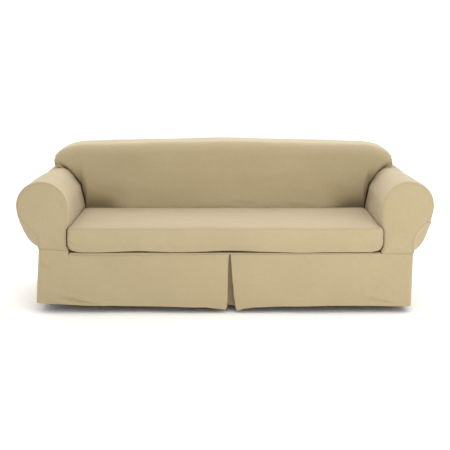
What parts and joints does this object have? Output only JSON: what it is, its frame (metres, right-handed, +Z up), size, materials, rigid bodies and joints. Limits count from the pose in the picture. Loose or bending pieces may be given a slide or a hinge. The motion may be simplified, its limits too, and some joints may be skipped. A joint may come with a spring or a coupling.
{
  "type": "fitted sofa slipcover",
  "caption": "Fitted cotton duck slipcover for a roll-arm sofa, with a pleated skirt and a separate cover for its bench seat cushion.",
  "frame": {"origin": "centre of the bounding box in plan, at the lowest point of the front hem", "axes": "+X to the right as seen from the front, +Y to the back, +Z up"},
  "size_m": [2.1542, 0.9348, 0.808],
  "materials": {
    "cotton_duck": "matte plain weave, khaki",
    "cotton_duck_seat": "matte plain weave, khaki, brighter in the light on the seat"
  },
  "bodies": {
    "root": {"arm_top_left": "cotton_duck", "outside_arm_left": "cotton_duck", "arm_front_left": "cotton_duck", "skirt_left": "cotton_duck", "arm_top_right": "cotton_duck", "outside_arm_right": "cotton_duck", "arm_front_right": "cotton_duck", "skirt_right": "cotton_duck", "inside_back": "cotton_duck", "outside_back": "cotton_duck", "deck": "cotton_duck", "skirt_front": "cotton_duck", "skirt_back": "cotton_duck", "cushion_top": "cotton_duck_seat", "cushion_boxing": "cotton_duck_seat"}
  },
  "joints": []
}
